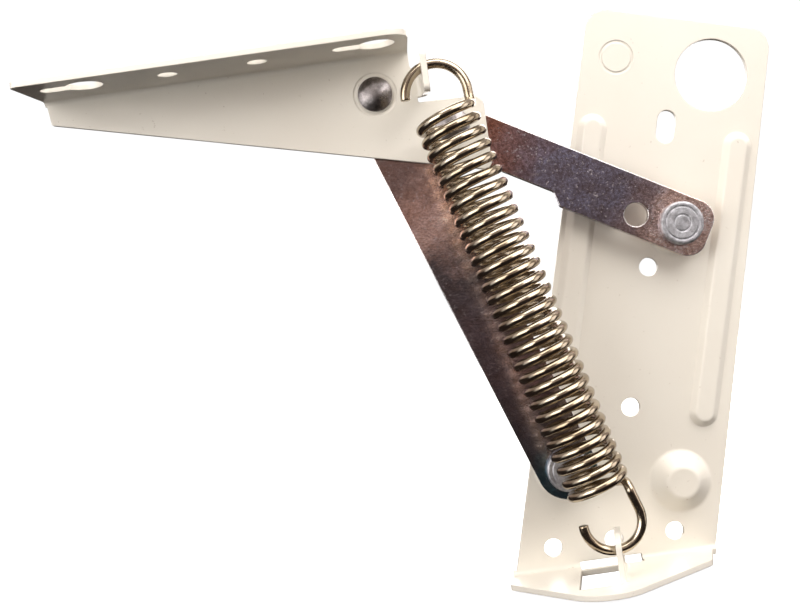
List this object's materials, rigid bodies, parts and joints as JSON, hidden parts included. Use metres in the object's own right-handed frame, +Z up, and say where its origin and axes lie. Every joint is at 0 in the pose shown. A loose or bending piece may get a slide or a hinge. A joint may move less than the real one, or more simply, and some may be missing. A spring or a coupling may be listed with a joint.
{
  "type": "sprung lid stay",
  "caption": "Sprung folding stay that holds a bench lid open: pressed base plate, two flat links, lid bracket and an extension spring.",
  "frame": {"origin": "centre of the middle screw hole of the foot row, on the base plate's flat back face", "axes": "+X along the fold of the foot, +Z up the base plate square to that fold, -Y out of the mounting face towards the front of the stay; modelled in the open position"},
  "size_m": [0.1951, 0.034, 0.1488],
  "materials": {
    "cream_paint": "gloss",
    "zinc_plate": "polished",
    "rivet_steel": "satin",
    "spring_wire": "polished"
  },
  "bodies": {
    "base": {"base_plate": "cream_paint", "lower_base_rivet": "rivet_steel", "upper_base_rivet": "rivet_steel"},
    "lower_link": {"lower_link": "zinc_plate"},
    "lid": {"lid_bracket": "cream_paint", "lower_lid_rivet": "rivet_steel", "upper_lid_rivet_head": "rivet_steel"},
    "upper_link": {"upper_link": "zinc_plate", "upper_lid_rivet_tail": "rivet_steel"},
    "spring": {"extension_spring": "spring_wire"},
    "spring_top": {"spring_top_hook": "spring_wire"}
  },
  "joints": [
    {"name": "lower_link_pivot", "type": "hinge", "parent": "base", "child": "lower_link", "pos_m": [-0.01048, -0.0066, 0.02129], "axis": [0, -1, 0], "range_deg": [-27.78, 0]},
    {"name": "lid_pivot", "type": "hinge", "parent": "lower_link", "child": "lid", "pos_m": [-0.04695, -0.0066, 0.126], "axis": [0, -1, 0], "range_deg": [0, 102.76], "stiffness_Nm_per_rad": 0.3, "springref_deg": -114.59},
    {"name": "upper_link_pivot", "type": "hinge", "parent": "base", "child": "upper_link", "pos_m": [0.02812, -0.0066, 0.08137], "axis": [0, -1, 0], "range_deg": [-53.15, 0]},
    {"name": "spring_swing", "type": "hinge", "parent": "base", "child": "spring", "pos_m": [-0.00225, -0.022, 0.00173], "axis": [0, -1, 0], "range_deg": [-18.94, 0]},
    {"name": "spring_stretch", "type": "slide", "parent": "spring", "child": "spring_top", "axis": [-0.2482, 0, 0.9687], "range_m": [0, 0.01312], "deforming": ["extension_spring", "spring_top_hook"]}
  ],
  "couplings": [
    {"joint": "lower_link_pivot", "follows": "lid_pivot", "ratio": -0.27014},
    {"joint": "upper_link_pivot", "follows": "lid_pivot", "ratio": -0.51706},
    {"joint": "spring_swing", "follows": "lid_pivot", "ratio": -0.18409},
    {"joint": "spring_stretch", "follows": "lid_pivot", "m_per_rad": 0.0073091}
  ]
}
